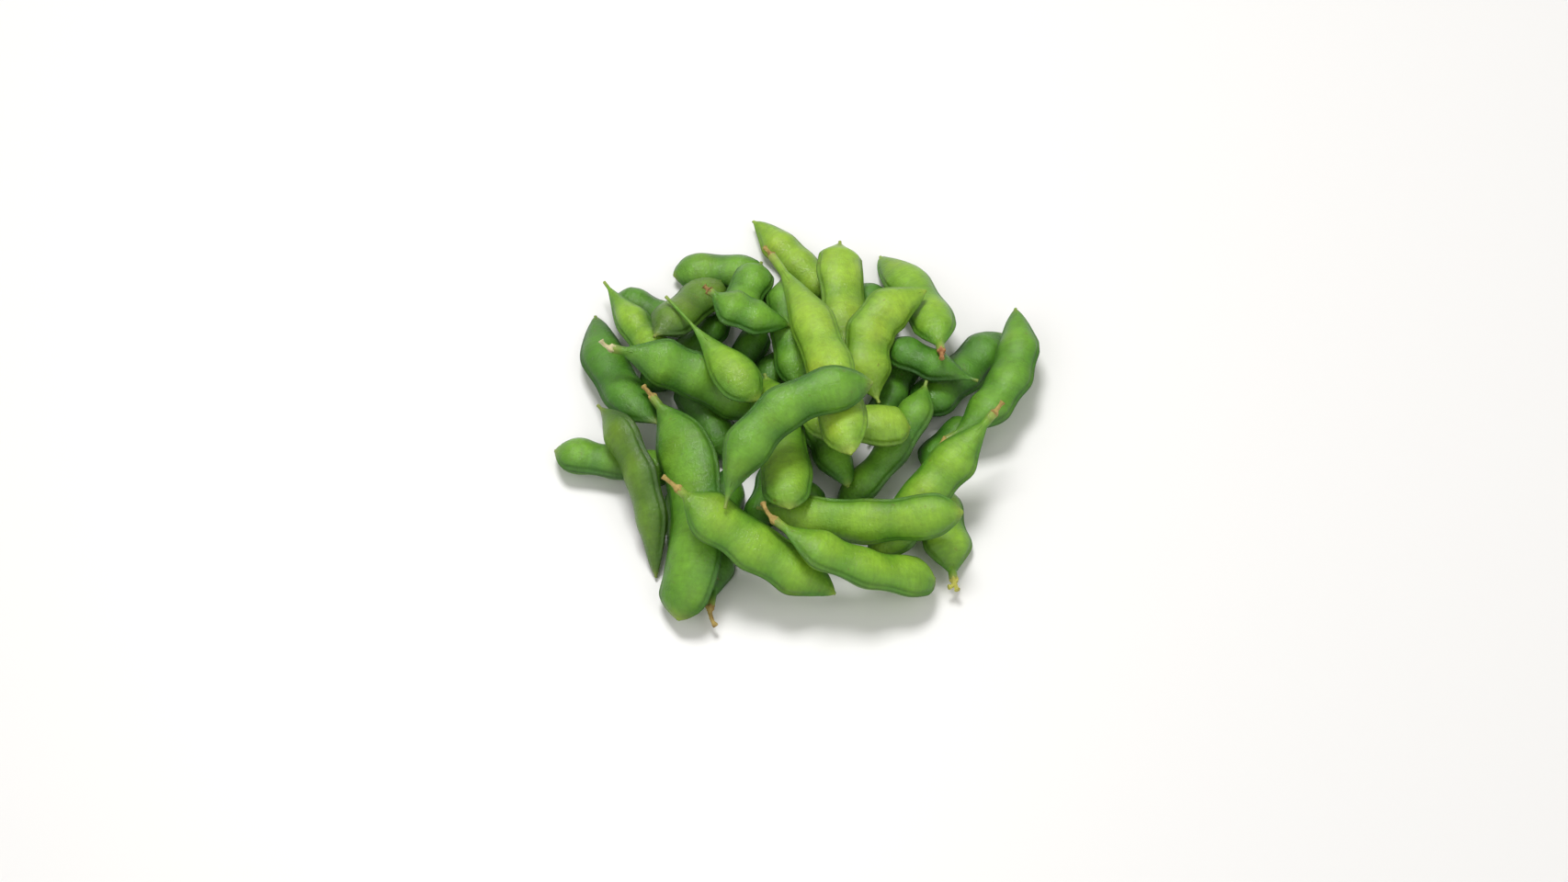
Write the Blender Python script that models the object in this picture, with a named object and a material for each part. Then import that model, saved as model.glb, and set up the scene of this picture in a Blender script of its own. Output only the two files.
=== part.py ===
"""A bundle of cooked edamame: separate soybean pods lying in one loose heap.

Every pod is one closed loft with its own place in the heap. A dried calyx with
a stub of stalk is a separate small tube on the pods that still carry one.
Units in the tables are millimetres and degrees; the model is in metres, +Z up,
with the surface that the heap lies on at Z = 0.
"""
import bmesh
import bpy
import numpy as np
from math import atan, atan2, cos, hypot, pi, radians, sin, tan

MM = 0.001

# Driving dimensions, in millimetres
POD_THICKNESS = 8.0       # through the beans, across the flat of a pod
TOUCH_GAP = 0.35          # clearance kept where one pod rests on another
RESTING_FLAT = 0.6        # depth pressed flat where a pod lies on the surface
NECK_RADIUS = 1.3         # half width of a pod where its stalk joins
BEAK_RADIUS = 0.5         # half width of a pod at its pointed end
STUB_RADIUS = 0.9         # dried calyx and stalk
STATIONS = 11             # cross-sections along a pod
SIDES = 10                # corners of a cross-section
FACET_ALLOWANCE = 1.03    # the flats of the loft stand on the true surface

# Greatest slope of a pod's length
STEEPEST = 20.0

# Heap, bottom to top. Each row: name, stalk end x y, beak end x y, sideways bow
# of the centre line (+ is to the left, going from stalk to beak), width, bean
# count, roll about the length, share of the length in the neck, share in the
# beak, and the balance point's offset towards the beak as a share of the length.
PODS = (
    ("base_pod_01", -21, -53, -16, -10, -0.5, 9.5, 3, 30, 0.30, 0.20, 0.00),
    ("base_pod_02", -10, -32, 1, 2, 0.0, 9.5, 3, 0, 0.20, 0.20, 0.00),
    ("base_pod_03", 21, -1, 32, 27, -1.5, 9.5, 3, 0, 0.20, 0.20, 0.00),
    ("base_pod_04", -42, 13, -17, 40, -0.5, 9.5, 3, 0, 0.20, 0.20, 0.00),
    ("base_pod_05", 32, 5, 59, 34, -1.5, 12.5, 3, 0, 0.20, 0.20, 0.00),
    ("base_pod_06", 51, 5, 36, -11, 0.0, 10.5, 2, 0, 0.20, 0.20, 0.00),
    ("base_pod_07", 43, -45, 38, -16, -0.5, 13.0, 2, 10, 0.35, 0.20, 0.00),
    ("base_pod_08", -28, -13, -64, -6, -0.5, 12.0, 3, 15, 0.20, 0.14, 0.00),
    ("base_pod_09", -50, 46, -30, 35, 0.5, 10.0, 2, 0, 0.20, 0.20, 0.00),
    ("base_pod_10", -6, 50, -33, 52, -3.0, 11.5, 2, -5, 0.20, 0.20, 0.00),
    ("base_pod_11", 14, 43, -10, 72, 0.5, 10.5, 3, 0, 0.20, 0.40, 0.00),
    ("base_pod_12", -30, -15, -28, -39, 0.0, 8.0, 2, 10, 0.20, 0.20, 0.00),
    ("base_pod_13", -30, 18, -16, -8, 0.5, 11.0, 2, 0, 0.20, 0.20, 0.00),
    ("base_pod_14", -16, 44, 18, 33, 1.5, 9.5, 3, 0, 0.20, 0.20, 0.00),
    ("base_pod_15", 37, 12, 12, -21, 4.5, 10.5, 3, 20, 0.20, 0.20, 0.00),
    ("base_pod_16", 4, 19, 16, -20, -2.0, 10.5, 3, -15, 0.20, 0.30, 0.00),
    ("base_pod_17", -7, 36, -19, 13, 0.0, 9.0, 2, 0, 0.20, 0.20, 0.00),
    ("base_pod_18", -9, 2, -4, 25, 0.0, 9.5, 2, 0, 0.20, 0.20, 0.00),
    ("base_pod_19", 27, 31, 21, 50, 0.0, 9.0, 2, 0, 0.20, 0.20, 0.00),
    ("base_pod_20", 0, -33, 6, -15, 0.0, 9.0, 2, 0, 0.20, 0.20, 0.00),
    ("middle_pod_01", 51, 12, 26, 25, 1.0, 10.5, 2, 5, 0.50, 0.20, 0.00),
    ("middle_pod_02", -52, 4, -36, -43, 7.0, 11.0, 3, 50, 0.20, 0.40, 0.25),
    ("middle_pod_03", -35, -2, -54, 41, 5.0, 12.5, 2, 5, 0.20, 0.40, 0.00),
    ("middle_pod_04", -52, 48, -33, 15, 0.0, 9.5, 2, 5, 0.50, 0.20, 0.00),
    ("middle_pod_05", -37, 22, -19, 48, 0.5, 12.0, 2, 0, 0.25, 0.20, 0.00),
    ("middle_pod_06", 42, -5, 62, 39, -8.5, 12.0, 3, -10, 0.30, 0.35, 0.00),
    ("middle_pod_07", 54, -4, 21, -40, 0.0, 12.5, 3, 0, 0.35, 0.20, 0.10),
    ("middle_pod_08", -9, -27, 45, -33, -3.5, 11.5, 3, 30, 0.20, 0.14, 0.00),
    ("middle_pod_09", -2, 47, 2, 10, 0.0, 10.5, 3, 0, 0.20, 0.20, 0.00),
    ("middle_pod_10", -8, 53, -16, 30, 0.0, 11.0, 2, 0, 0.20, 0.20, 0.00),
    ("middle_pod_11", 14, 60, 18, 18, -1.5, 13.0, 2, -15, 0.14, 0.40, 0.00),
    ("middle_pod_12", -37, 5, -30, -58, 9.5, 15.5, 2, 25, 0.25, 0.10, 0.20),
    ("middle_pod_13", -48, 17, -8, 4, 2.5, 13.0, 3, 25, 0.35, 0.20, 0.00),
    ("middle_pod_14", -7, 14, -1, -33, 2.0, 13.0, 2, 0, 0.20, 0.12, 0.00),
    ("middle_pod_15", -29, -30, 12, -51, -2.0, 14.0, 3, 0, 0.20, 0.30, 0.00),
    ("top_pod_01", 41, 19, 25, 61, -3.5, 12.0, 2, 0, 0.22, 0.30, 0.00),
    ("top_pod_02", 1, -3, 32, -4, -1.5, 13.0, 2, -5, 0.20, 0.12, 0.00),
    ("top_pod_03", 24, 5, 38, 38, 10.0, 13.0, 3, 15, 0.20, 0.35, 0.00),
    ("top_pod_04", -34, 34, -9, 0, 0.5, 12.5, 1, 0, 0.80, 0.18, 0.00),
    ("top_pod_05", -22, 35, 0, 28, -2.5, 12.0, 2, -5, 0.30, 0.55, 0.00),
    ("top_pod_06", -4, -37, 38, -45, -5.5, 13.0, 3, -15, 0.30, 0.10, 0.20),
    ("top_pod_07", -5, 52, 15, -22, 4.0, 12.5, 3, 15, 0.45, 0.12, 0.10),
    ("top_pod_08", -17, -36, 22, -4, 10.5, 12.0, 3, 20, 0.30, 0.16, 0.00),
)

# Dried calyx and stalk stub: pod, length, and how far it turns to the side
STUBS = {
    "base_pod_01": (6.0, 50),
    "base_pod_07": (3.5, 15),
    "middle_pod_06": (4.0, 60),
    "middle_pod_07": (4.0, 0),
    "middle_pod_12": (4.5, 0),
    "middle_pod_13": (4.0, -50),
    "middle_pod_15": (5.5, 10),
    "top_pod_01": (4.0, -10),
    "top_pod_05": (2.2, 0),
    "top_pod_06": (6.0, -40),
    "top_pod_07": (4.0, 10),
}

# Grid on which the top of the heap is kept while pods are laid, millimetres
CELL = 0.5
SPAN = 180.0

# Colours: linear RGB, for the pods in turn and for the dried stubs
POD_GREENS = ((0.10, 0.26, 0.05), (0.14, 0.33, 0.06), (0.20, 0.40, 0.08), (0.07, 0.20, 0.05))
STUB_COLOUR = (0.42, 0.24, 0.09)


def bean_centres(count, neck, beak):
    """Places of the beans along a pod, as shares of its length."""
    low = 0.55 * neck
    high = 1.0 - 0.40 * beak
    return low + (np.arange(count) + 0.5) * (high - low) / count


def pod_profile(t, count, neck, beak):
    """Half width and half thickness along a pod, as shares of the greatest."""
    centres = bean_centres(count, neck, beak)
    spread = 0.34 * (1.0 - 0.40 * beak - 0.55 * neck) / count
    beans = np.exp(-((t[:, None] - centres) / spread) ** 2).sum(axis=1).clip(0.0, 1.0)
    power = 1.5 + 8.0 * max(0.0, neck - 0.5)
    grow = np.sin(np.clip(t / neck, 0.0, 1.0) * pi / 2) ** power
    fall = (1.0 - (1.0 - np.clip((1.0 - t) / beak, 0.0, 1.0)) ** 2) ** 0.8
    envelope = grow * fall
    wide = envelope * (0.94 + 0.06 * beans)
    thick = envelope ** 1.1 * (0.74 + 0.26 * beans)
    return wide, thick


def pod_rings(length, bow, width, count, neck, beak):
    """Cross-sections of a pod in its own frame: stalk at 0, beak at +x."""
    t = 0.5 - 0.5 * np.cos(pi * np.linspace(0.12, 0.88, STATIONS))
    t = (t - t[0]) / (t[-1] - t[0])
    wide, thick = pod_profile(t, count, neck, beak)
    half_width = np.maximum(wide * width / 2, NECK_RADIUS * (1 - t) + BEAK_RADIUS * t)
    half_thick = np.maximum(thick * POD_THICKNESS / 2, 1.1 * (1 - t) + 0.4 * t)
    half_width = half_width * FACET_ALLOWANCE
    half_thick = half_thick * FACET_ALLOWANCE
    slope = 4 * bow * (1 - 2 * t) / length
    along = 1 / np.sqrt(1 + slope ** 2)
    across = slope * along
    angle = np.arange(SIDES) * 2 * pi / SIDES
    side = np.cos(angle)[None, :] * half_width[:, None]
    height = np.sin(angle)[None, :] * half_thick[:, None]
    x = (length * t)[:, None] - side * across[:, None]
    y = (4 * bow * t * (1 - t))[:, None] + side * along[:, None]
    return np.stack([x, y, height], axis=-1)


def stub_line(length, bow, stub):
    """Centre line of a stub, in its pod's frame: it leaves the stalk end."""
    reach, bend = stub
    heading = atan(4 * bow / length) + pi
    point = TOUCH_GAP * np.array([cos(heading), sin(heading), 0.0])
    points = [point]
    steps = 4
    for step in range(steps):
        turn = heading + radians(bend) * (step + 0.5) / steps
        point = point + reach / steps * np.array([cos(turn), sin(turn), 0.12])
        points.append(point)
    return np.array(points)


def surface_points(rings):
    """Close points over a lofted surface, for finding where it would touch."""
    along = 12
    around = 6
    stations, sides = rings.shape[:2]
    u = np.linspace(0, stations - 1, (stations - 1) * along + 1)
    i = np.minimum(u.astype(int), stations - 2)
    fu = (u - i)[:, None, None]
    rows = rings[i] * (1 - fu) + rings[i + 1] * fu
    v = np.arange(sides * around) / around
    j = v.astype(int)
    fv = (v - j)[None, :, None]
    return (rows[:, j] * (1 - fv) + rows[:, (j + 1) % sides] * fv).reshape(-1, 3)


def stub_points(line):
    """Close points around a stub, a little outside its true surface."""
    share = np.linspace(0, len(line) - 1, 25)
    core = np.stack([np.interp(share, np.arange(len(line)), line[:, k]) for k in range(3)], axis=-1)
    run = np.gradient(core, axis=0)
    run /= np.linalg.norm(run, axis=1)[:, None]
    side = np.cross(run, np.array([0.0, 0.0, 1.0]))
    side /= np.linalg.norm(side, axis=1)[:, None]
    rise = np.cross(side, run)
    angle = np.arange(16) * pi / 8
    radius = STUB_RADIUS + 0.1
    ring = np.cos(angle)[None, :, None] * side[:, None] + np.sin(angle)[None, :, None] * rise[:, None]
    return (core[:, None] + radius * ring).reshape(-1, 3)


def turn_matrix(yaw, pitch, roll):
    """Roll about the length, then raise the beak by pitch, then turn by yaw."""
    about_x = np.array([[1, 0, 0], [0, cos(roll), -sin(roll)], [0, sin(roll), cos(roll)]])
    about_y = np.array([[cos(pitch), 0, -sin(pitch)], [0, 1, 0], [sin(pitch), 0, cos(pitch)]])
    about_z = np.array([[cos(yaw), -sin(yaw), 0], [sin(yaw), cos(yaw), 0], [0, 0, 1]])
    return about_z @ about_y @ about_x


def resting_line(s, need):
    """Lowest straight line over the needed heights at s = 0: height and slope."""
    hull = []
    for x, y in zip(s, need):
        while len(hull) >= 2:
            (x0, y0), (x1, y1) = hull[-2], hull[-1]
            if (x1 - x0) * (y - y0) - (y1 - y0) * (x - x0) < 0:
                break
            hull.pop()
        hull.append((x, y))
    for (x0, y0), (x1, y1) in zip(hull, hull[1:]):
        if x0 <= 0 <= x1:
            slope = (y1 - y0) / (x1 - x0)
            return y0 - slope * x0, slope
    return max(y for x, y in hull), 0.0


class Heap:
    """The pods laid so far, as the height of their tops over a square grid."""

    def __init__(self):
        self.count = int(SPAN / CELL)
        self.top = np.zeros(self.count * self.count)

    def cells(self, points):
        place = ((points[:, :2] + SPAN / 2) / CELL).astype(int).clip(0, self.count - 1)
        return place[:, 0] * self.count + place[:, 1]

    def needed(self, points, centre, yaw, shift):
        """Where along the pod, and how high, each cell under it asks it to be."""
        cell = self.cells(points)
        low = np.full(self.top.size, 1e9)
        np.minimum.at(low, cell, points[:, 2])
        used = np.unique(cell)
        top = self.top[used]
        need = np.where(top > 0, top + TOUCH_GAP, 0.0) - low[used]
        x = (used // self.count + 0.5) * CELL - SPAN / 2 - centre[0]
        y = (used % self.count + 0.5) * CELL - SPAN / 2 - centre[1]
        return x * cos(yaw) + y * sin(yaw) - shift, need

    def lay(self, shape, middle, centre, yaw, roll, shift, on_surface):
        """Rest a rigid shape on the heap: returns its pitch and height."""
        pitch = 0.0
        for attempt in range(8):
            points = (shape - middle) @ turn_matrix(yaw, pitch, roll).T
            points[:, :2] += centre
            floor = points[:, 2].min() + RESTING_FLAT
            if on_surface:
                points[:, 2] = np.maximum(points[:, 2], floor)
            s, need = self.needed(points, centre, yaw, shift)
            if attempt == 7:
                break
            step = np.round(s).astype(int)
            places = np.unique(step)
            highest = np.array([need[step == place].max() for place in places])
            height, slope = resting_line(places.astype(float), highest)
            limit = radians(STEEPEST)
            pitch = float(np.clip(atan(tan(pitch) + 0.8 * slope), -limit, limit))
        return pitch, float(need.max()), floor

    def cover(self, points):
        np.maximum.at(self.top, self.cells(points), points[:, 2])


def material(name, colour, roughness):
    mat = bpy.data.materials.new(name)
    mat.use_nodes = True
    shader = mat.node_tree.nodes["Principled BSDF"]
    shader.inputs["Base Color"].default_value = (*colour, 1.0)
    shader.inputs["Roughness"].default_value = roughness
    shader.inputs["Metallic"].default_value = 0.0
    return mat


def loft(name, rings):
    """One closed body through equal rings of corners, capped at both ends."""
    bm = bmesh.new()
    loops = [[bm.verts.new(tuple(corner * MM)) for corner in ring] for ring in rings]
    sides = len(loops[0])
    for near, far in zip(loops, loops[1:]):
        for k in range(sides):
            n = (k + 1) % sides
            bm.faces.new((near[k], far[k], far[n], near[n]))
    bm.faces.new(loops[0])
    bm.faces.new(loops[-1][::-1])
    bmesh.ops.recalc_face_normals(bm, faces=bm.faces)
    bmesh.ops.triangulate(bm, faces=bm.faces)
    mesh = bpy.data.meshes.new(name)
    bm.to_mesh(mesh)
    bm.free()
    mesh.shade_smooth()
    return bpy.data.objects.new(name, mesh)


def stub_curve(name, line):
    """A bevelled poly curve with filled caps."""
    curve = bpy.data.curves.new(name, "CURVE")
    curve.dimensions = "3D"
    curve.bevel_depth = STUB_RADIUS * MM
    curve.bevel_resolution = 2
    curve.use_fill_caps = True
    spline = curve.splines.new("POLY")
    spline.points.add(len(line) - 1)
    for target, point in zip(spline.points, line):
        target.co = (*(point * MM), 1.0)
    return bpy.data.objects.new(name, curve)


def lay_pods():
    """Place every pod: rings, stub centre line or None, in heap millimetres."""
    heap = Heap()
    laid = {}
    for name, sx, sy, bx, by, bow, width, beans, roll, neck, beak, balance in PODS:
        on_surface = name.startswith("base")
        centre = np.array([(sx + bx) / 2, (sy + by) / 2])
        plan_length = hypot(bx - sx, by - sy)
        yaw = atan2(by - sy, bx - sx)
        length = plan_length
        for attempt in range(2):
            rings = pod_rings(length, bow, width, beans, neck, beak)
            shape = surface_points(rings)
            line = None
            if name in STUBS:
                line = stub_line(length, bow, STUBS[name])
                shape = np.concatenate([shape, stub_points(line)])
            middle = np.array([length / 2, 0.0, 0.0])
            shift = balance * length
            place = (shape, middle, centre, yaw, radians(roll), shift, on_surface)
            pitch, height, floor = heap.lay(*place)
            if attempt == 0:
                length = plan_length / cos(pitch)
        turn = turn_matrix(yaw, pitch, radians(roll))

        def placed(points, lift=height, low=floor, flat=on_surface, mid=middle, rot=turn, at=centre):
            moved = (points - mid) @ rot.T
            if flat:
                moved[..., 2] = np.maximum(moved[..., 2], low)
            moved += np.array([at[0], at[1], lift])
            return moved

        heap.cover(placed(shape))
        laid[name] = (placed(rings), None if line is None else placed(line))
    return laid


def main():
    for obj in list(bpy.data.objects):
        bpy.data.objects.remove(obj, do_unlink=True)
    collection = bpy.data.collections.new("edamame_pod_bundle")
    bpy.context.scene.collection.children.link(collection)
    laid = lay_pods()
    corners = [rings.reshape(-1, 3) for rings, line in laid.values()]
    corners += [stub_points(line) for rings, line in laid.values() if line is not None]
    corners = np.concatenate(corners)
    middle = (corners.min(axis=0) + corners.max(axis=0)) / 2
    shift = np.array([-middle[0], -middle[1], -corners[:, 2].min()])
    for number, (name, (rings, line)) in enumerate(laid.items()):
        pod = loft(name, rings + shift)
        pod.data.materials.append(material(name, POD_GREENS[number % len(POD_GREENS)], 0.4))
        collection.objects.link(pod)
        if line is not None:
            stub = stub_curve(name + "_stub", line + shift)
            stub.data.materials.append(material(name + "_stub", STUB_COLOUR, 0.8))
            collection.objects.link(stub)


main()
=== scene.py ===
"""Looks for a heap of cooked edamame pods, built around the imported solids."""
from math import atan, atan2, cos, hypot, pi, radians, sin

import bpy
import numpy as np
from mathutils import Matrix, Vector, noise


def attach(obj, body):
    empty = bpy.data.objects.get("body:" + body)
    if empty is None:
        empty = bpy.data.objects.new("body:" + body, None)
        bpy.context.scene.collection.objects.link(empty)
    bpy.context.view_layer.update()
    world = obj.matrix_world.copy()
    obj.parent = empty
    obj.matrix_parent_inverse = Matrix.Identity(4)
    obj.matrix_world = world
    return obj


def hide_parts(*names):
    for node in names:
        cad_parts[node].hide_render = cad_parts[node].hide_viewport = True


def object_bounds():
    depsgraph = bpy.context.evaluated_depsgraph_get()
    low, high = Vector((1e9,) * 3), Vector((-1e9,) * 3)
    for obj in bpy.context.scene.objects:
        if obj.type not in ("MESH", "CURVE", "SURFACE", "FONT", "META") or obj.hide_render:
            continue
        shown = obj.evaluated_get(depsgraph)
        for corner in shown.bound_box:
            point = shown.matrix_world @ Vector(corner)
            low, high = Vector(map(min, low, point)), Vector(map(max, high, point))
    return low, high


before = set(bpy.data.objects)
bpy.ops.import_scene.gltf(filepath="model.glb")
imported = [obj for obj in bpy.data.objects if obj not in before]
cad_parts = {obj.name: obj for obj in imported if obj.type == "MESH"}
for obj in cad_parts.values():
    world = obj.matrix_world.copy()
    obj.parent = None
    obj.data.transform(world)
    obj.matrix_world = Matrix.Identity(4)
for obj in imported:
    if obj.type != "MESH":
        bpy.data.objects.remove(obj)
cad_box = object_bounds()

MM = 0.001

# The pods' shape, in millimetres: the same rules that the solids follow
POD_THICKNESS = 8.0
NECK_RADIUS = 1.3
BEAK_RADIUS = 0.5
NECK_DEPTH = 1.1            # half thickness at either end
BEAK_DEPTH = 0.4
BARE_NECK = 0.5             # where no stub is left
BEAK_LEAN = 0.7             # sideways, at the pointed end
TOUCH_GAP = 0.35
CAD_STATIONS = 11
CAD_SIDES = 10
FACET_ALLOWANCE = 1.03

# Name, stalk end x y, beak end x y, bow, width, beans, roll, neck, beak, balance
PODS = (
    ("base_pod_01", -21, -53, -16, -10, -0.5, 9.5, 3, 30, 0.30, 0.20, 0.00),
    ("base_pod_02", -10, -32, 1, 2, 0.0, 9.5, 3, 0, 0.20, 0.20, 0.00),
    ("base_pod_03", 21, -1, 32, 27, -1.5, 9.5, 3, 0, 0.20, 0.20, 0.00),
    ("base_pod_04", -42, 13, -17, 40, -0.5, 9.5, 3, 0, 0.20, 0.20, 0.00),
    ("base_pod_05", 32, 5, 59, 34, -1.5, 12.5, 3, 0, 0.20, 0.20, 0.00),
    ("base_pod_06", 51, 5, 36, -11, 0.0, 10.5, 2, 0, 0.20, 0.20, 0.00),
    ("base_pod_07", 43, -45, 38, -16, -0.5, 13.0, 2, 10, 0.35, 0.20, 0.00),
    ("base_pod_08", -28, -13, -64, -6, -0.5, 12.0, 3, 15, 0.20, 0.14, 0.00),
    ("base_pod_09", -50, 46, -30, 35, 0.5, 10.0, 2, 0, 0.20, 0.20, 0.00),
    ("base_pod_10", -6, 50, -33, 52, -3.0, 11.5, 2, -5, 0.20, 0.20, 0.00),
    ("base_pod_11", 14, 43, -10, 72, 0.5, 10.5, 3, 0, 0.20, 0.40, 0.00),
    ("base_pod_12", -30, -15, -28, -39, 0.0, 8.0, 2, 10, 0.20, 0.20, 0.00),
    ("base_pod_13", -30, 18, -16, -8, 0.5, 11.0, 2, 0, 0.20, 0.20, 0.00),
    ("base_pod_14", -16, 44, 18, 33, 1.5, 9.5, 3, 0, 0.20, 0.20, 0.00),
    ("base_pod_15", 37, 12, 12, -21, 4.5, 10.5, 3, 20, 0.20, 0.20, 0.00),
    ("base_pod_16", 4, 19, 16, -20, -2.0, 10.5, 3, -15, 0.20, 0.30, 0.00),
    ("base_pod_17", -7, 36, -19, 13, 0.0, 9.0, 2, 0, 0.20, 0.20, 0.00),
    ("base_pod_18", -9, 2, -4, 25, 0.0, 9.5, 2, 0, 0.20, 0.20, 0.00),
    ("base_pod_19", 27, 31, 21, 50, 0.0, 9.0, 2, 0, 0.20, 0.20, 0.00),
    ("base_pod_20", 0, -33, 6, -15, 0.0, 9.0, 2, 0, 0.20, 0.20, 0.00),
    ("middle_pod_01", 51, 12, 26, 25, 1.0, 10.5, 2, 5, 0.50, 0.20, 0.00),
    ("middle_pod_02", -52, 4, -36, -43, 7.0, 11.0, 3, 50, 0.20, 0.40, 0.25),
    ("middle_pod_03", -35, -2, -54, 41, 5.0, 12.5, 2, 5, 0.20, 0.40, 0.00),
    ("middle_pod_04", -52, 48, -33, 15, 0.0, 9.5, 2, 5, 0.50, 0.20, 0.00),
    ("middle_pod_05", -37, 22, -19, 48, 0.5, 12.0, 2, 0, 0.25, 0.20, 0.00),
    ("middle_pod_06", 42, -5, 62, 39, -8.5, 12.0, 3, -10, 0.30, 0.35, 0.00),
    ("middle_pod_07", 54, -4, 21, -40, 0.0, 12.5, 3, 0, 0.35, 0.20, 0.10),
    ("middle_pod_08", -9, -27, 45, -33, -3.5, 11.5, 3, 30, 0.20, 0.14, 0.00),
    ("middle_pod_09", -2, 47, 2, 10, 0.0, 10.5, 3, 0, 0.20, 0.20, 0.00),
    ("middle_pod_10", -8, 53, -16, 30, 0.0, 11.0, 2, 0, 0.20, 0.20, 0.00),
    ("middle_pod_11", 14, 60, 18, 18, -1.5, 13.0, 2, -15, 0.14, 0.40, 0.00),
    ("middle_pod_12", -37, 5, -30, -58, 9.5, 15.5, 2, 25, 0.25, 0.10, 0.20),
    ("middle_pod_13", -48, 17, -8, 4, 2.5, 13.0, 3, 25, 0.35, 0.20, 0.00),
    ("middle_pod_14", -7, 14, -1, -33, 2.0, 13.0, 2, 0, 0.20, 0.12, 0.00),
    ("middle_pod_15", -29, -30, 12, -51, -2.0, 14.0, 3, 0, 0.20, 0.30, 0.00),
    ("top_pod_01", 41, 19, 25, 61, -3.5, 12.0, 2, 0, 0.22, 0.30, 0.00),
    ("top_pod_02", 1, -3, 32, -4, -1.5, 13.0, 2, -5, 0.20, 0.12, 0.00),
    ("top_pod_03", 24, 5, 38, 38, 10.0, 13.0, 3, 15, 0.20, 0.35, 0.00),
    ("top_pod_04", -34, 34, -9, 0, 0.5, 12.5, 1, 0, 0.80, 0.18, 0.00),
    ("top_pod_05", -22, 35, 0, 28, -2.5, 12.0, 2, -5, 0.30, 0.55, 0.00),
    ("top_pod_06", -4, -37, 38, -45, -5.5, 13.0, 3, -15, 0.30, 0.10, 0.20),
    ("top_pod_07", -5, 52, 15, -22, 4.0, 12.5, 3, 15, 0.45, 0.12, 0.10),
    ("top_pod_08", -17, -36, 22, -4, 10.5, 12.0, 3, 20, 0.30, 0.16, 0.00),
)

# Stubs: how far each reaches, and its bend in degrees
STUBS = {
    "base_pod_01": (6.0, 50),
    "base_pod_07": (3.5, 15),
    "middle_pod_06": (4.0, 60),
    "middle_pod_07": (4.0, 0),
    "middle_pod_12": (4.5, 0),
    "middle_pod_13": (4.0, -50),
    "middle_pod_15": (5.5, 10),
    "top_pod_01": (4.0, -10),
    "top_pod_05": (2.2, 0),
    "top_pod_06": (6.0, -40),
    "top_pod_07": (4.0, 10),
}

# Camera, in millimetres and degrees: aimed just beside the heap's middle
SENSOR = 36.0
LENS = 63.305979
ELEVATION = 58.5
DISTANCE = 752.5
AIM = (-3.9, -6.4)

# Lights in metres and watts: name, place, size, power; all aim at the origin
LIGHTS = (
    ("key", (-0.12, 0.42, 0.95), 0.36, 7.0),
    ("fill", (0.75, -0.45, 0.8), 0.9, 3.3),
    ("front", (-0.55, -0.60, 0.8), 0.9, 3.1),
)
SKY_COLOUR = (1.0, 0.985, 0.96, 1.0)
SKY_STRENGTH = 0.34
FLOOR_COLOUR = (0.86, 0.85, 0.835, 1.0)

# Pod colours, sRGB 0 to 255: over a bean, paler partly as a painted highlight on the bean tops,
# and between beans, which also serves as painted shade toward the edges
TONES = {
    "light": ((154, 190, 56), (112, 158, 42)),
    "fresh": ((136, 180, 48), (80, 134, 32)),
    "green": ((112, 164, 44), (64, 118, 28)),
    "deep": ((86, 142, 34), (48, 98, 22)),
    "olive": ((100, 138, 36), (66, 104, 26)),
}
BEAK_TONE = (158, 164, 72)
NECK_TONE = (160, 166, 84)
BRUISE_TONE = (112, 84, 34)
# Stubs: pale and dark tone, for all and for the ones that differ
STUB_TONE = ((184, 160, 90), (126, 94, 44))
STUB_TONES = {
    "base_pod_07": ((196, 196, 92), (160, 150, 70)),
    "middle_pod_13": ((222, 212, 168), (176, 164, 112)),
    "top_pod_01": ((192, 146, 92), (124, 62, 32)),
    "top_pod_05": ((160, 130, 74), (112, 72, 38)),
}
# Stubs with a second prong, and how far it turns from the first, in degrees
FORKED = {"base_pod_07": -95}
# Which pods have which tone; the others are "green"
PODS_OF_TONE = {
    "light": (
        "base_pod_11", "middle_pod_11", "top_pod_02", "top_pod_03", "top_pod_07",
    ),
    "fresh": (
        "base_pod_07", "middle_pod_04", "middle_pod_07", "middle_pod_08", "middle_pod_14",
        "middle_pod_15", "top_pod_01", "top_pod_04", "top_pod_06",
    ),
    "deep": (
        "base_pod_01", "base_pod_02", "base_pod_03", "base_pod_04", "base_pod_05",
        "base_pod_06", "base_pod_09", "base_pod_13", "base_pod_14", "base_pod_17",
        "base_pod_18", "base_pod_19", "base_pod_20", "middle_pod_01", "middle_pod_03",
    ),
    "olive": (
        "middle_pod_02", "middle_pod_05",
    ),
}
TONE_OF = {name: tone for tone, names in PODS_OF_TONE.items() for name in names}

# The fine skin; depths in millimetres
STATIONS = 200              # cross-sections along a pod
SIDES = 88                  # corners of a cross-section
BEAN_RISE = 0.16
SEAM_CORD = 0.34            # how far the seam stands out
SEAM_GROOVE = 0.26          # how deep the dip beside it is
DENT_DEPTH = 0.15
WRINKLE_DEPTH = 0.014
CREASE_DEPTH = 0.13         # at neck and beak
STUB_STATIONS = 46
STUB_SIDES = 28
STUB_CLASP = 0.9            # how far the calyx reaches over the neck
STUB_LIFT = 0.12            # how steeply the stalk rises
BUMP_DEPTH = 0.00022        # of the skin material, in metres


def to_linear(colour):
    """sRGB 0 to 255 as linear 0 to 1."""
    value = np.asarray(colour, float) / 255.0
    return np.where(value <= 0.04045, value / 12.92, ((value + 0.055) / 1.055) ** 2.4)


def bean_centres(count, neck, beak):
    low = 0.55 * neck
    high = 1.0 - 0.40 * beak
    return low + (np.arange(count) + 0.5) * (high - low) / count


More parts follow.
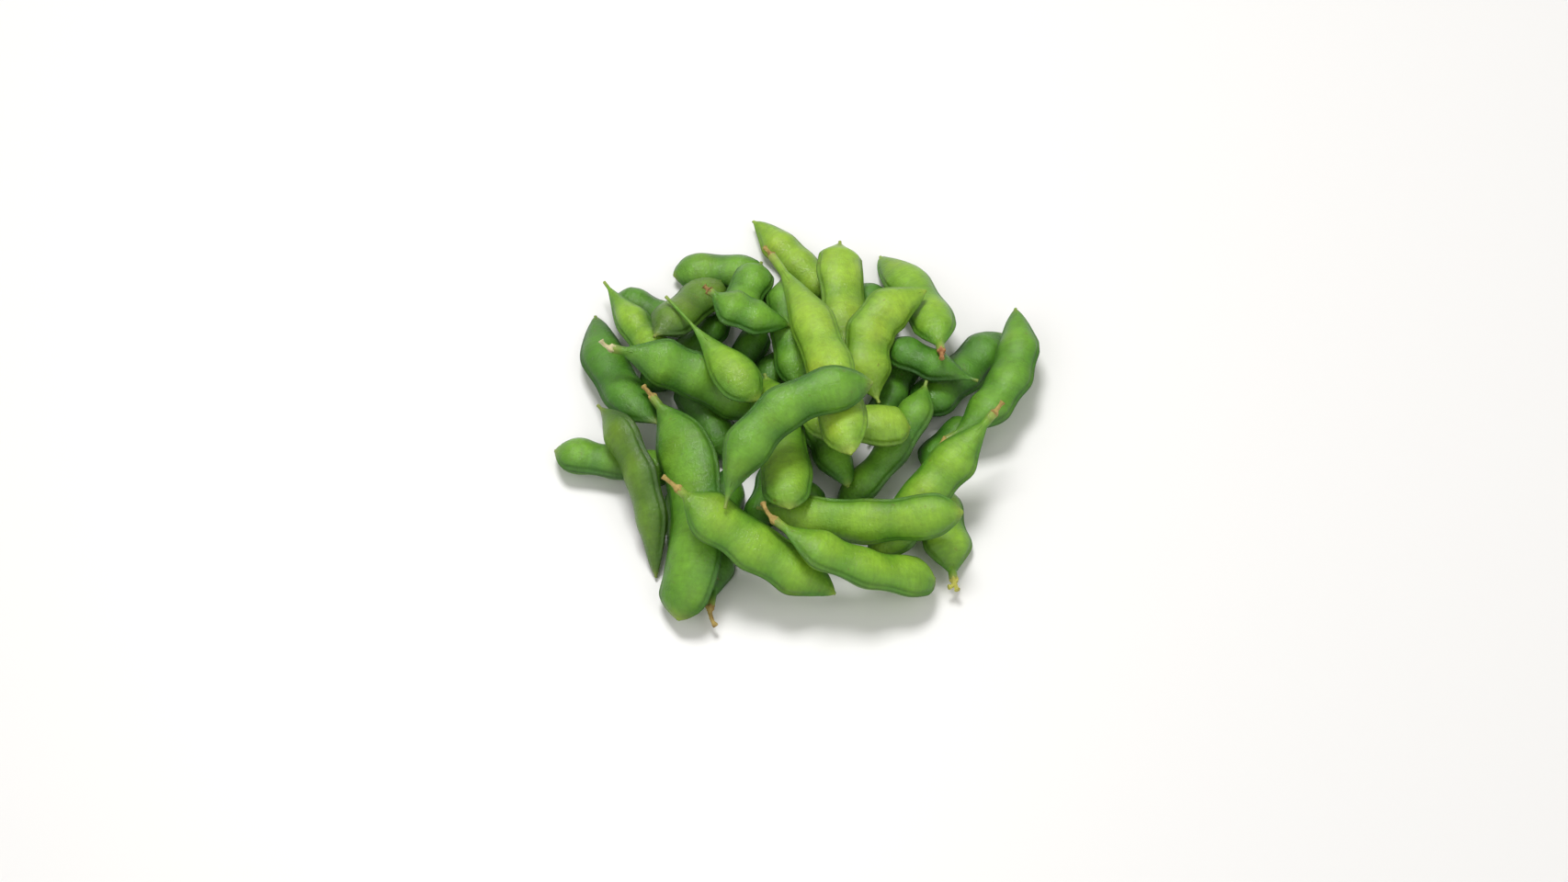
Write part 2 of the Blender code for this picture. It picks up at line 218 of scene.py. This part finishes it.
def pod_profile(t, count, neck, beak):
    """Half width, half thickness and nearness to a bean, along a pod."""
    centres = bean_centres(count, neck, beak)
    spread = 0.34 * (1.0 - 0.40 * beak - 0.55 * neck) / count
    beans = np.exp(-((t[:, None] - centres) / spread) ** 2).sum(axis=1).clip(0.0, 1.0)
    power = 1.5 + 8.0 * max(0.0, neck - 0.5)
    grow = np.sin(np.clip(t / neck, 0.0, 1.0) * pi / 2) ** power
    fall = (1.0 - (1.0 - np.clip((1.0 - t) / beak, 0.0, 1.0)) ** 2) ** 0.8
    envelope = grow * fall
    wide = envelope * (0.94 + 0.06 * beans)
    thick = envelope ** 1.1 * (0.74 + 0.26 * beans)
    return wide, thick, beans


def centre_line(t, length, bow):
    """Centre line and its unit direction in the pod's own plane."""
    slope = 4 * bow * (1 - 2 * t) / length
    along = 1 / np.sqrt(1 + slope ** 2)
    return length * t, 4 * bow * t * (1 - t), along, slope * along


def coarse_corners(length, row):
    """The solid's own corners, in the pod's frame."""
    bow, width, count, roll, neck, beak = row[5:11]
    t = 0.5 - 0.5 * np.cos(pi * np.linspace(0.12, 0.88, CAD_STATIONS))
    t = (t - t[0]) / (t[-1] - t[0])
    wide, thick, _ = pod_profile(t, count, neck, beak)
    ends = NECK_RADIUS * (1 - t) + BEAK_RADIUS * t
    half_width = FACET_ALLOWANCE * np.maximum(wide * width / 2, ends)
    ends = NECK_DEPTH * (1 - t) + BEAK_DEPTH * t
    half_thick = FACET_ALLOWANCE * np.maximum(thick * POD_THICKNESS / 2, ends)
    x, y, along, across = centre_line(t, length, bow)
    angle = np.arange(CAD_SIDES) * 2 * pi / CAD_SIDES
    side = np.cos(angle)[None, :] * half_width[:, None]
    height = np.sin(angle)[None, :] * half_thick[:, None]
    px = x[:, None] - side * across[:, None]
    py = y[:, None] + side * along[:, None]
    return np.stack([px, py, height], axis=-1).reshape(-1, 3)


def turn_matrix(yaw, pitch, roll):
    about_x = np.array([[1, 0, 0], [0, cos(roll), -sin(roll)], [0, sin(roll), cos(roll)]])
    about_y = np.array([[cos(pitch), 0, -sin(pitch)], [0, 1, 0], [sin(pitch), 0, cos(pitch)]])
    about_z = np.array([[cos(yaw), -sin(yaw), 0], [sin(yaw), cos(yaw), 0], [0, 0, 1]])
    return about_z @ about_y @ about_x


class Place:
    """Where a pod lies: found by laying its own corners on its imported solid."""

    def __init__(self, row):
        name, sx, sy, bx, by = row[:5]
        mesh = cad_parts[name].data
        solid = np.empty(len(mesh.vertices) * 3)
        mesh.vertices.foreach_get("co", solid)
        solid = solid.reshape(-1, 3) / MM
        self.yaw = atan2(by - sy, bx - sx)
        self.roll = radians(row[8])
        self.plan = hypot(bx - sx, by - sy)
        best = None
        low, high, step = -22.0, 22.0, 1.0
        for _ in range(4):
            for pitch in np.arange(low, high + step / 2, step):
                miss = self.fit(row, solid, radians(pitch))
                if best is None or miss < best[0]:
                    best = (miss, pitch)
            low, high, step = best[1] - step, best[1] + step, step / 6
        self.miss = self.fit(row, solid, radians(best[1]))
        self.base = solid[:, 2].min()

    def fit(self, row, solid, pitch):
        self.length = self.plan / cos(pitch)
        self.turn = turn_matrix(self.yaw, pitch, self.roll)
        corners = coarse_corners(self.length, row) @ self.turn.T
        self.move = (solid.max(axis=0) + solid.min(axis=0)) / 2
        self.move -= (corners.max(axis=0) + corners.min(axis=0)) / 2
        if row[0].startswith("base"):
            self.move[2] = solid[:, 2].max() - corners[:, 2].max()
        gap = np.linalg.norm(solid[:, None] - (corners + self.move)[None], axis=-1).min(axis=1)
        return np.median(gap)

    def world(self, points):
        return points @ self.turn.T + self.move


def smooth_noise(points, scale, seed):
    """Perlin noise in about -1 to 1, read at many points."""
    shift = np.array([seed * 7.31, seed * 3.17, seed * 5.73])
    flat = points.reshape(-1, 3) / scale + shift
    values = np.array([noise.noise(p) for p in flat.tolist()])
    return values.reshape(points.shape[:-1])


def make_mesh(name, tubes):
    """Closed quad tubes over grids of rings, each with a fan at both ends."""
    points, faces = [], []
    layers = {"skin": [], "own": []}
    base = 0
    for grid, colours, own in tubes:
        rings, sides = grid.shape[:2]
        i = np.arange(rings - 1)[:, None] * sides
        j = np.arange(sides)[None, :]
        n = (j + 1) % sides
        quads = np.stack([i + j, i + n, i + sides + n, i + sides + j], axis=-1).reshape(-1, 4)
        first, last = rings * sides, rings * sides + 1
        end = (rings - 1) * sides
        j, n = j.ravel(), n.ravel()
        fan_a = np.stack([np.full(sides, first), n, j], axis=-1)
        fan_b = np.stack([np.full(sides, last), end + j, end + n], axis=-1)
        for part in (quads, fan_a, fan_b):
            faces += (part + base).tolist()
        for values, kept in ((grid, points), (colours, layers["skin"]), (own, layers["own"])):
            kept += [values.reshape(-1, 3), values[:1].mean(axis=1), values[-1:].mean(axis=1)]
        base += rings * sides + 2
    mesh = bpy.data.meshes.new(name)
    mesh.from_pydata((np.concatenate(points) * MM).tolist(), [], faces)
    mesh.update()
    colour = np.concatenate(layers["skin"])
    colour = np.column_stack([colour, np.ones(len(colour))])
    mesh.attributes.new("skin", "FLOAT_COLOR", "POINT").data.foreach_set("color", colour.ravel())
    own = np.concatenate(layers["own"])
    mesh.attributes.new("own", "FLOAT_VECTOR", "POINT").data.foreach_set("vector", own.ravel())
    mesh.shade_smooth()
    obj = bpy.data.objects.new(name, mesh)
    bpy.context.scene.collection.objects.link(obj)
    return obj


def swelling(t, row):
    """Nearness to a bean over the whole skin: an oval around each bean."""
    count, neck, beak = row[7], row[9], row[10]
    spread = 0.29 * (1.0 - 0.40 * beak - 0.55 * neck) / count
    c = np.cos(np.arange(SIDES) * 2 * pi / SIDES)[None, :]
    near = np.zeros((STATIONS, SIDES))
    for centre in bean_centres(count, neck, beak):
        oval = ((t - centre) / (spread * 1.25))[:, None] ** 2 + (c / 0.88) ** 2
        near = np.maximum(near, np.exp(-oval ** 1.6))
    return near


def skin_colour(t, row, c, near, seam_line_and_shade, dents, wrinkles, warm):
    """Paler over the beans and mid-face, partly the beans' own tone and partly painted
    highlight; darker seams, partly their own line and partly painted shade; painted shade in the
    groove, dents and wrinkles; yellow at neck and beak.
    """
    edge, dip = seam_line_and_shade
    bean_and_highlight_tone, skin_and_edge_shade_tone = (to_linear(tone) for tone in TONES[TONE_OF.get(row[0], "green")])
    # Painted highlight and shade: paler over the beans and the middle of each face, partly the
    # beans' own tone and partly a painted highlight; paler on bulging dents and darker in sunken
    # ones; darker toward the edges as painted shade
    middle = 1 - np.abs(c) ** 2.2
    mix = np.clip(0.45 * near ** 0.8 + 0.50 * middle + 0.30 * dents, 0, 1)[..., None]
    colour = skin_and_edge_shade_tone * (1 - mix) + bean_and_highlight_tone * mix
    # Darker along the seam cord, partly its own darker line and partly painted shade at the
    # outline, and painted shade in the groove beside it
    colour = colour * (1.0 - np.clip(0.46 * edge + 0.20 * dip, 0, 1)[..., None])
    # Painted shade in the wrinkles' troughs, a little paler on their crests
    colour = colour * (1.0 + 0.05 * wrinkles[..., None])
    colour = colour * (1 - warm[..., None] * np.array([-0.10, 0.05, 0.25]))
    tip = np.exp(-((1 - t) / 0.030) ** 2)[:, None, None]
    colour = colour * (1 - 0.45 * tip) + 0.45 * tip * to_linear(BEAK_TONE)
    stem = np.exp(-(t / 0.045) ** 2)[:, None, None]
    return colour * (1 - 0.6 * stem) + 0.6 * stem * to_linear(NECK_TONE)


def pod_grid(row, place, seed):
    """Fine skin of one pod in millimetres, its colour, and its own coordinates."""
    name = row[0]
    bow, width, count, _, neck, beak = row[5:11]
    length = place.length
    t = np.linspace(0, 1, STATIONS)
    t = 0.5 * t + 0.5 * (0.5 - 0.5 * np.cos(pi * t))
    wide, thick, beans = pod_profile(t, count, neck, beak)
    neck_radius = NECK_RADIUS if name in STUBS else BARE_NECK
    half_width = np.maximum(wide * width / 2, neck_radius * (1 - t) + BEAK_RADIUS * t)
    # Cooked shells slacken: the beans swell the outline less than in the solid
    thick = thick * (0.84 + 0.16 * beans) / (0.74 + 0.26 * beans)
    ends = 0.9 * neck_radius * (1 - t) + BEAK_DEPTH * t
    half_thick = np.maximum(thick * POD_THICKNESS / 2, ends)
    angle = np.arange(SIDES) * 2 * pi / SIDES
    c = np.cos(angle)[None, :]
    s = np.sin(angle)[None, :]
    # Between the beans the shell is a flatter lens; over them it is rounder
    lens = 1.12 + 0.18 * (1.0 - beans)[:, None]
    height = np.sign(s) * np.abs(s) ** lens * half_thick[:, None]
    # The outer edge is drawn in between the beans; the inner edge runs straighter
    bow_side = np.sign(bow if bow else 1)
    outer = np.clip(bow_side * c, 0, 1)
    side = c * half_width[:, None] * (1 + 0.12 * (beans - 0.92)[:, None] * outer)
    near = swelling(t, row)
    body = np.clip(wide, 0, 1)[:, None]
    height += np.sign(s) * BEAN_RISE * (near - 0.80) * body * np.abs(s)
    # The seams along both edges: a thin raised cord with a dip beside it
    off_edge = np.abs(s) * half_thick[:, None]
    edge = np.exp(-(off_edge / 0.50) ** 4) * body
    dip = np.exp(-((off_edge - 1.05) / 0.45) ** 2) * body
    side += np.sign(c) * (SEAM_CORD * edge - SEAM_GROOVE * dip)
    # The beak leans towards the outer edge
    lean = bow_side * BEAK_LEAN * np.clip((t - 0.90) / 0.10, 0, 1) ** 2
    x, y, along, across = centre_line(t, length, bow)
    px = x[:, None] - side * across[:, None]
    py = (y + lean)[:, None] + side * along[:, None]
    local = np.stack([px, py, height], axis=-1)
    # Soft dents and fine slanting wrinkles, pushed along the skin's own direction
    out = np.stack([-c * across[:, None], c * along[:, None], s + 0 * across[:, None]], axis=-1)
    run = np.broadcast_to((length * t)[:, None], side.shape)
    own = np.stack([run, side, height], axis=-1)
    dents = smooth_noise(own * np.array([1.0, 1.0, 1.6]), 6.0, seed)
    slant = run + 0.25 * side + 0.35 * dents
    folded = np.stack([slant, 0.14 * side, 0.14 * height], axis=-1)
    wrinkles = smooth_noise(folded, 0.62, seed + 40)
    creases = smooth_noise(np.stack([0.15 * run, side, height], axis=-1), 0.7, seed + 80)
    near_end = np.exp(-(t / (0.5 * neck)) ** 2) + np.exp(-((1 - t) / 0.10) ** 2)
    push = body * (DENT_DEPTH * dents + WRINKLE_DEPTH * wrinkles)
    push = push + CREASE_DEPTH * np.clip(near_end, 0, 1)[:, None] * creases * (0.3 + body)
    grid = place.world(local + out * push[..., None])
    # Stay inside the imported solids' box, and above the pod's own lowest point
    low, high = (np.array(corner) / MM for corner in cad_box)
    low[2] = max(low[2], place.base)
    grid = np.clip(grid, low, high)
    warm = np.clip(smooth_noise(own, 9.0, seed + 120) * 1.6 - 0.2, 0, 1)
    colour = skin_colour(t, row, c, near, (edge, dip), dents, wrinkles, warm)
    own[..., 2] += 40.0 * seed
    return grid, colour, own


def node(tree, kind, **values):
    """A new node with its sockets, or else its own settings, given by name."""
    made = tree.nodes.new(kind)
    for key, value in values.items():
        if key in made.inputs:
            made.inputs[key].default_value = value
        else:
            setattr(made, key, value)
    return made


def ranged(tree, source, low, high, start=0.3, stop=0.7):
    """A texture value spread from start..stop to low..high."""
    made = node(tree, "ShaderNodeMapRange")
    made.inputs["From Min"].default_value = start
    made.inputs["From Max"].default_value = stop
    made.inputs["To Min"].default_value = low
    made.inputs["To Max"].default_value = high
    tree.links.new(source, made.inputs["Value"])
    return made.outputs["Result"]


def stretched(tree, source, scale):
    """Coordinates scaled apart on each axis."""
    made = node(tree, "ShaderNodeMapping")
    made.inputs["Scale"].default_value = scale
    tree.links.new(source, made.inputs["Vector"])
    return made.outputs["Vector"]


def mixed(tree, share, source, colour):
    """A colour texture mixed with one fixed colour."""
    made = node(tree, "ShaderNodeMix", data_type="RGBA")
    colours = {socket.name: socket for socket in made.inputs if socket.type == "RGBA"}
    tree.links.new(share, made.inputs["Factor"])
    tree.links.new(source, colours["A"])
    colours["B"].default_value = (*colour, 1.0)
    return next(socket for socket in made.outputs if socket.type == "RGBA")


def new_material(name):
    """A node material, its tree and shader, and the mesh's two attributes."""
    mat = bpy.data.materials.new(name)
    mat.use_nodes = True
    tree = mat.node_tree
    shader = tree.nodes["Principled BSDF"]
    skin = node(tree, "ShaderNodeAttribute", attribute_name="skin").outputs["Color"]
    own = node(tree, "ShaderNodeAttribute", attribute_name="own").outputs["Vector"]
    return mat, tree, shader, skin, own


def pod_skin():
    """Moist cooked skin: mottled, finely wrinkled across, with wet glints."""
    mat, tree, shader, skin, own = new_material("pod_skin")
    link = tree.links.new
    mottle = node(tree, "ShaderNodeTexNoise", Scale=0.45, Detail=6.0, Roughness=0.65)
    link(own, mottle.inputs["Vector"])
    across = node(tree, "ShaderNodeTexNoise", Scale=1.5, Detail=3.0, Roughness=0.55)
    across.inputs["Distortion"].default_value = 0.25
    link(stretched(tree, own, (1.0, 0.16, 0.16)), across.inputs["Vector"])
    pores = node(tree, "ShaderNodeTexNoise", Scale=1.5, Detail=3.0, Roughness=0.6)
    link(own, pores.inputs["Vector"])
    # The fine folds' noise also sets the colour: painted shade in their troughs and paler
    # crests, beside the real mottling
    shade = node(tree, "ShaderNodeMath", operation="MULTIPLY")
    link(ranged(tree, mottle.outputs["Fac"], 0.84, 1.16), shade.inputs[0])
    link(ranged(tree, across.outputs["Fac"], 0.93, 1.07), shade.inputs[1])
    tinted = node(tree, "ShaderNodeVectorMath", operation="SCALE")
    link(skin, tinted.inputs[0])
    link(shade.outputs["Value"], tinted.inputs["Scale"])
    spots = node(tree, "ShaderNodeTexNoise", Scale=0.6, Detail=3.0, Roughness=0.6)
    link(own, spots.inputs["Vector"])
    share = ranged(tree, spots.outputs["Fac"], 0.0, 0.5, 0.67, 0.76)
    bruised = mixed(tree, share, tinted.outputs["Vector"], to_linear(BRUISE_TONE))
    link(bruised, shader.inputs["Base Color"])
    link(ranged(tree, mottle.outputs["Fac"], 0.36, 0.56, 0.35, 0.65), shader.inputs["Roughness"])
    fine = node(tree, "ShaderNodeBump", Strength=0.85, Distance=BUMP_DEPTH)
    link(pores.outputs["Fac"], fine.inputs["Height"])
    folds = node(tree, "ShaderNodeBump", Strength=0.28, Distance=BUMP_DEPTH)
    link(across.outputs["Fac"], folds.inputs["Height"])
    link(fine.outputs["Normal"], folds.inputs["Normal"])
    link(folds.outputs["Normal"], shader.inputs["Normal"])
    drops = node(tree, "ShaderNodeTexNoise", Scale=2.4, Detail=2.0, Roughness=0.5)
    link(own, drops.inputs["Vector"])
    wet = node(tree, "ShaderNodeBump", Strength=1.0, Distance=BUMP_DEPTH)
    link(drops.outputs["Fac"], wet.inputs["Height"])
    link(folds.outputs["Normal"], wet.inputs["Normal"])
    link(wet.outputs["Normal"], shader.inputs["Coat Normal"])
    shader.inputs["Subsurface Weight"].default_value = 0.15
    shader.inputs["Subsurface Radius"].default_value = (0.7, 1.0, 0.2)
    shader.inputs["Subsurface Scale"].default_value = 0.0015
    shader.inputs["Specular IOR Level"].default_value = 0.28
    shader.inputs["Coat Weight"].default_value = 0.36
    shader.inputs["Coat Roughness"].default_value = 0.10
    return mat


def dry_stalk():
    """Dried calyx and stalk: fibrous, matt, tan to red-brown."""
    mat, tree, shader, skin, own = new_material("dried_stalk")
    link = tree.links.new
    fibre = node(tree, "ShaderNodeTexNoise", Scale=2.2, Detail=4.0)
    link(stretched(tree, own, (0.4, 1.0, 1.0)), fibre.inputs["Vector"])
    shade = ranged(tree, fibre.outputs["Fac"], 0.7, 1.3, 0.0, 1.0)
    tinted = node(tree, "ShaderNodeVectorMath", operation="SCALE")
    link(skin, tinted.inputs[0])
    link(shade, tinted.inputs["Scale"])
    link(tinted.outputs["Vector"], shader.inputs["Base Color"])
    bump = node(tree, "ShaderNodeBump", Strength=0.6, Distance=0.0003)
    link(fibre.outputs["Fac"], bump.inputs["Height"])
    link(bump.outputs["Normal"], shader.inputs["Normal"])
    shader.inputs["Roughness"].default_value = 0.82
    return mat


def stub_grid(row, place, reach, bend, seed):
    """A dried calyx that clasps the neck, and the bent stub of its stalk."""
    bow = row[5]
    heading = atan(4 * bow / place.length) + pi
    start = np.array([cos(heading), sin(heading), 0.0])
    points = [-STUB_CLASP * start, TOUCH_GAP * start]
    steps = 8
    for step in range(steps):
        turn = heading + radians(bend) * (step + 0.5) / steps
        way = np.array([cos(turn), sin(turn), STUB_LIFT])
        points.append(points[-1] + (reach - TOUCH_GAP) / steps * way)
    points = np.array(points)
    share = np.linspace(0, len(points) - 1, STUB_STATIONS)
    knots = np.arange(len(points))
    core = np.stack([np.interp(share, knots, points[:, k]) for k in range(3)], axis=-1)
    run = np.gradient(core, axis=0)
    run /= np.linalg.norm(run, axis=1)[:, None]
    flank = np.cross(run, np.array([0.0, 0.0, 1.0]))
    flank /= np.linalg.norm(flank, axis=1)[:, None]
    rise = np.cross(flank, run)
    gone = np.linspace(0, 1, len(core))
    angle = np.arange(STUB_SIDES) * 2 * pi / STUB_SIDES
    # A thin stalk, wide where the calyx clasps the neck and a little at its cut end
    radius = 0.54 + 0.62 * np.exp(-((gone - 0.12) / 0.15) ** 2)
    radius = radius + 0.24 * np.exp(-((gone - 0.97) / 0.10) ** 2)
    lobes = 1 + 0.16 * np.cos(5 * angle + seed)[None, :] * np.exp(-(gone / 0.3) ** 2)[:, None]
    ring = np.cos(angle)[None, :, None] * flank[:, None]
    ring = ring + np.sin(angle)[None, :, None] * rise[:, None]
    rough = smooth_noise(core[:, None] + ring * 0.9, 0.55, seed)
    radius = radius[:, None] * lobes * (1 + 0.22 * rough)
    local = core[:, None] + ring * radius[..., None]
    tan, rust = (to_linear(tone) for tone in STUB_TONES.get(row[0], STUB_TONE))
    mix = np.clip(0.35 + 0.8 * smooth_noise(local, 1.4, seed + 3), 0, 1)[..., None]
    return place.world(local), tan * (1 - mix) + rust * mix, local


def build_object():
    skin = pod_skin()
    stalk = dry_stalk()
    worst = 0.0
    for number, row in enumerate(PODS):
        name = row[0]
        place = Place(row)
        worst = max(worst, place.miss)
        pod = make_mesh(name + "_skin", [pod_grid(row, place, number + 1)])
        pod.data.materials.append(skin)
        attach(pod, "root")
        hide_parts(name)
        if name in STUBS:
            reach, bend = STUBS[name]
            prongs = [stub_grid(row, place, reach, bend, number + 1)]
            if name in FORKED:
                prongs.append(stub_grid(row, place, reach, bend + FORKED[name], number + 51))
            stub = make_mesh(name + "_calyx", prongs)
            stub.data.materials.append(stalk)
            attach(stub, "root")
            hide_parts(name + "_stub")
    print("largest misfit to a solid, mm:", round(worst, 4))


def build_stage():
    bpy.ops.mesh.primitive_plane_add(size=8.0, location=(0.0, 0.0, 0.0))
    floor = bpy.context.object
    floor.name = "floor"
    mat = bpy.data.materials.new("floor")
    mat.use_nodes = True
    shader = mat.node_tree.nodes["Principled BSDF"]
    shader.inputs["Base Color"].default_value = FLOOR_COLOUR
    shader.inputs["Roughness"].default_value = 0.45
    floor.data.materials.append(mat)
    bpy.context.scene.view_settings.view_transform = "Standard"
    world = bpy.data.worlds.new("studio")
    bpy.context.scene.world = world
    world.use_nodes = True
    sky = world.node_tree.nodes["Background"]
    sky.inputs["Color"].default_value = SKY_COLOUR
    sky.inputs["Strength"].default_value = SKY_STRENGTH
    for name, spot, size, power in LIGHTS:
        lamp = bpy.data.lights.new(name, "AREA")
        lamp.size = size
        lamp.energy = power
        obj = bpy.data.objects.new(name, lamp)
        obj.location = spot
        across, away, up = spot
        turn = atan2(-away, -across) - pi / 2
        obj.rotation_euler = (atan2(hypot(across, away), up), 0.0, turn)
        bpy.context.scene.collection.objects.link(obj)


def build_camera():
    camera = bpy.data.cameras.new("camera")
    camera.sensor_width = SENSOR
    camera.lens = LENS
    camera.clip_start = 0.01
    obj = bpy.data.objects.new("camera", camera)
    lift = radians(ELEVATION)
    back, up = DISTANCE * cos(lift), DISTANCE * sin(lift)
    obj.location = (AIM[0] * MM, (AIM[1] - back) * MM, up * MM)
    obj.rotation_euler = (pi / 2 - lift, 0.0, 0.0)
    bpy.context.scene.collection.objects.link(obj)
    bpy.context.scene.camera = obj


build_object()
build_stage()
build_camera()
